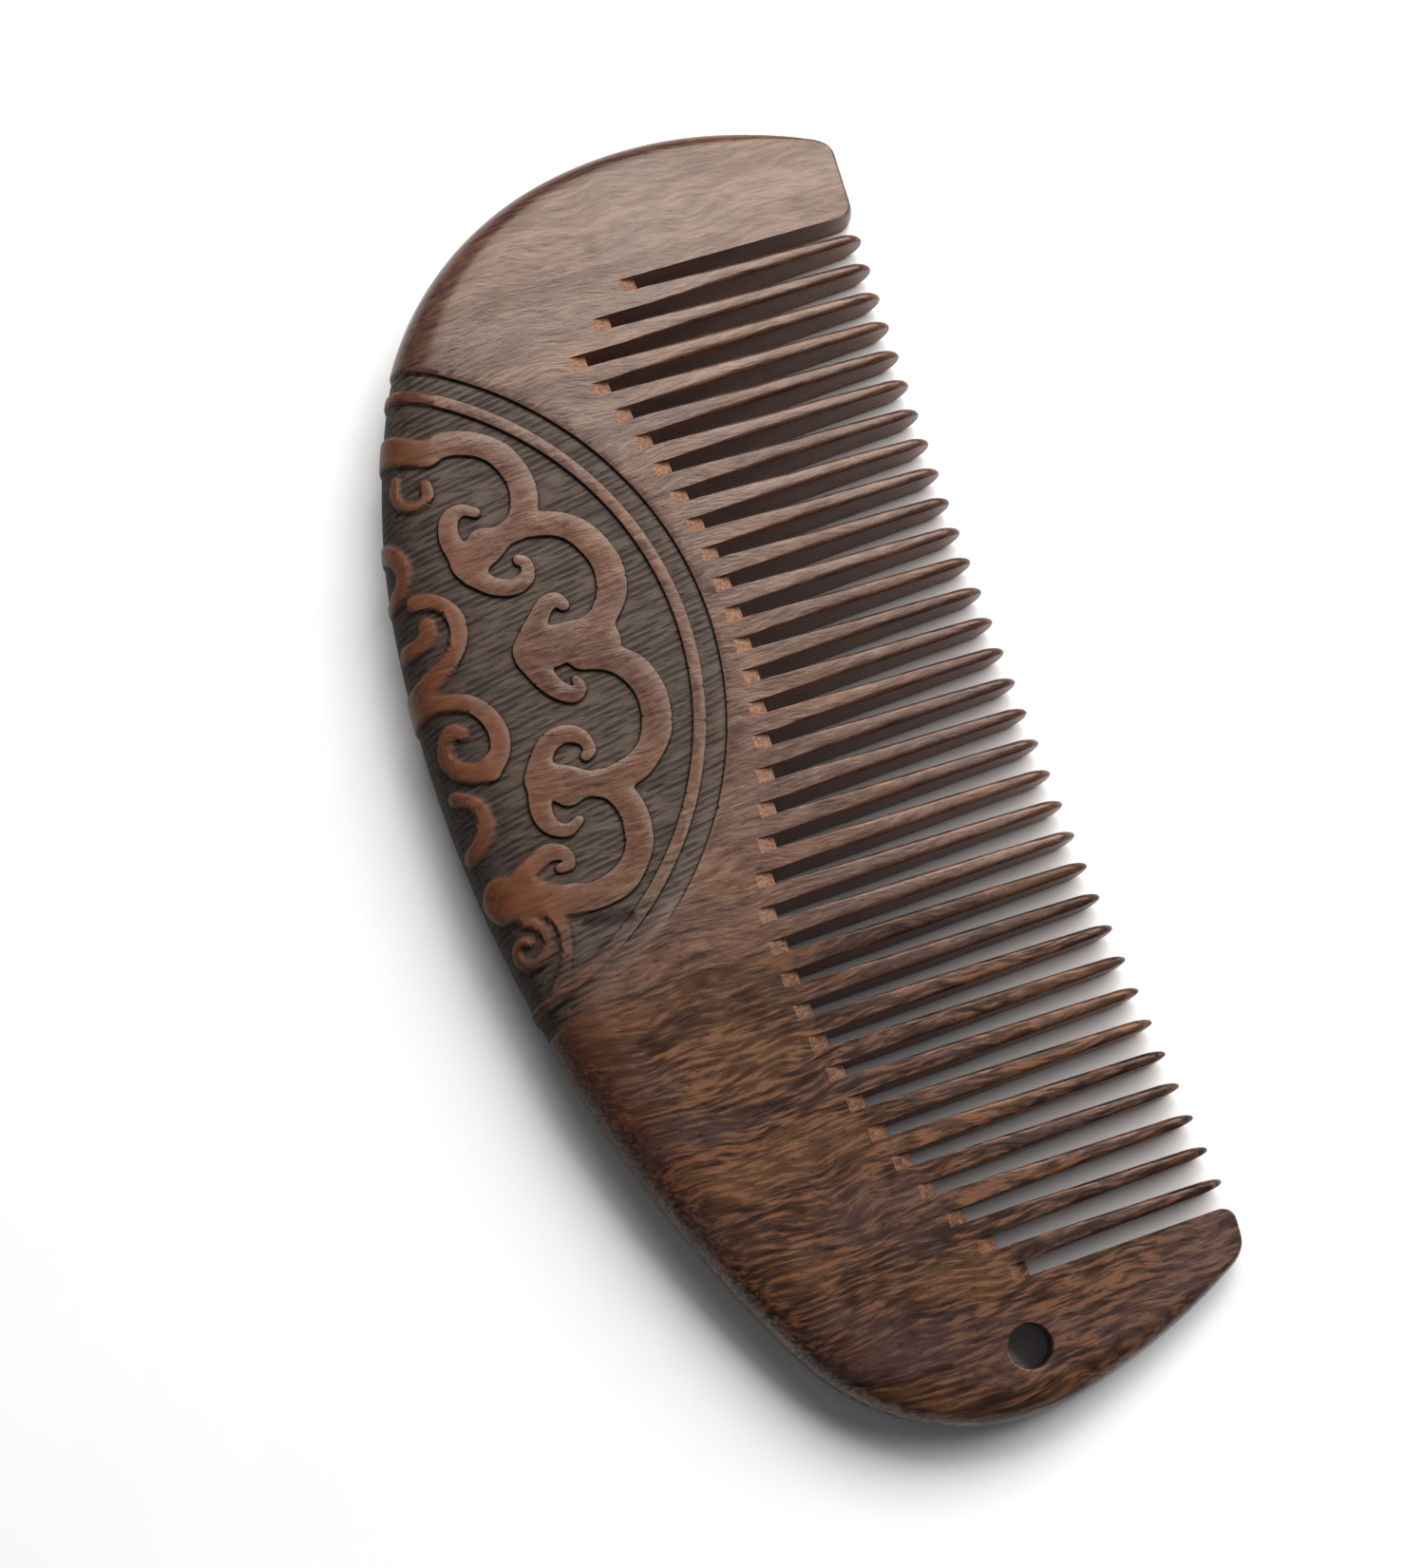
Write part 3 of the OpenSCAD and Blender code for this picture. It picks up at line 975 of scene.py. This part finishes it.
def wood_material(name, dark, middle, light, figure, gloss):
    """Oiled and polished rosewood with grain along Y."""
    material = new_material(name)
    graph = Graph(material)
    wood = wood_sockets(graph)
    shade = wood_shade(graph, wood, figure)
    hatch, breaks = hatch_strokes(graph, wood)
    color = polished_color(graph, wood, shade, dark, middle, light)
    color = carved_color(graph, wood, color, hatch, breaks)
    color, wall = sawn_and_lit_color(graph, wood, color)
    sockets = {
        "Base Color": glue_line(graph, wood, color),
        "Roughness": wood_roughness(graph, wood, wall),
        "Specular IOR Level": wood_sheen(graph, wood, shade, gloss),
        "Normal": wood_relief(graph, wood, hatch),
    }
    shader = material.node_tree.nodes["Principled BSDF"]
    for socket, value in sockets.items():
        material.node_tree.links.new(value, shader.inputs[socket])
    shader.inputs["IOR"].default_value = 1.5
    shader.inputs["Specular Tint"].default_value = (1, 0.84, 0.73, 1)
    return material


def floor_material():
    material = new_material("table_top")
    graph = Graph(material)
    point = graph.node("TexCoord").outputs["Object"]
    cloud = graph.noise(point, (0.02, 0.02, 0.02), 3)
    shader = material.node_tree.nodes["Principled BSDF"]
    color = graph.mix(graph.ramp(cloud, 0.3, 0.7), (0.86, 0.865, 0.875), (0.9, 0.9, 0.9))
    material.node_tree.links.new(color, shader.inputs["Base Color"])
    rough = graph.ramp(graph.noise(point, (0.4, 0.4, 0.4), 3), 0.2, 0.8, 0.3, 0.42)
    material.node_tree.links.new(rough, shader.inputs["Roughness"])
    return material


# ---------------------------------------------------------------- stage


def add_floor():
    bpy.ops.mesh.primitive_plane_add(size=4, location=(0, 0, -0.00002))
    floor = bpy.context.object
    floor.name = "table"
    floor.data.materials.append(floor_material())
    floor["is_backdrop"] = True


def add_area_light(name, location, size, energy, color):
    light = bpy.data.lights.new(name, "AREA")
    light.size = size
    light.energy = energy
    light.color = color
    lamp = bpy.data.objects.new(name, light)
    lamp.location = location
    lamp.rotation_euler = (-Vector(location)).to_track_quat("-Z", "Y").to_euler()
    bpy.context.scene.collection.objects.link(lamp)


def add_world(color, strength):
    world = bpy.data.worlds.new("room")
    world.use_nodes = True
    background = world.node_tree.nodes["Background"]
    background.inputs["Color"].default_value = (*color, 1)
    background.inputs["Strength"].default_value = strength
    bpy.context.scene.world = world


def add_camera():
    """Looks down on the comb, with the teeth to the right of the frame."""
    target = Vector(CAMERA_TARGET) * MM
    azimuth = math.radians(CAMERA_AZIMUTH)
    elevation = math.radians(CAMERA_ELEVATION)
    turn = math.radians(CAMERA_TURN)
    flat = Vector((math.cos(azimuth), math.sin(azimuth), 0)) * math.cos(elevation)
    back = flat + Vector((0, 0, math.sin(elevation)))
    up_hint = Vector((-math.cos(turn), math.sin(turn), 0))
    right = up_hint.cross(back).normalized()
    up = back.cross(right)
    camera = bpy.data.objects.new("camera", bpy.data.cameras.new("camera"))
    pose = Matrix((right, up, back)).transposed().to_4x4()
    camera.matrix_world = Matrix.Translation(target + back * CAMERA_DISTANCE * MM) @ pose
    camera.data.sensor_width = 36
    camera.data.lens = CAMERA_LENS
    camera.data.clip_start = 0.01
    bpy.context.scene.collection.objects.link(camera)
    bpy.context.scene.camera = camera


def main():
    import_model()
    cad_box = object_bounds()
    comb = comb_mesh()
    carve(comb)
    wide_wood = wood_material("wide_stave_rosewood", **WIDE_WOOD)
    narrow_wood = wood_material("narrow_stave_rosewood", **NARROW_WOOD)
    staves = (("wide_stave", True, wide_wood), ("narrow_stave", False, narrow_wood))
    for node, keep_low, wood in staves:
        piece = make_piece(node + "_visual", divide(comb, keep_low), wood)
        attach(piece, "root")
        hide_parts(node)
    comb.free()

    add_floor()
    add_area_light("window", (-0.264, 0.496, 0.568), 0.6, 8.3, (1, 0.99, 0.97))
    add_area_light("skylight", (-0.5, 0.18, 0.6), 0.4, 4, (1, 0.99, 0.97))
    add_world((0.93, 0.96, 1), 0.13)
    add_camera()
    bpy.context.scene.view_settings.view_transform = "Standard"
    sizes = {"cad": cad_box, "visual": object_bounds()}
    {key: [list(corner) for corner in box] for key, box in sizes.items()}


main()
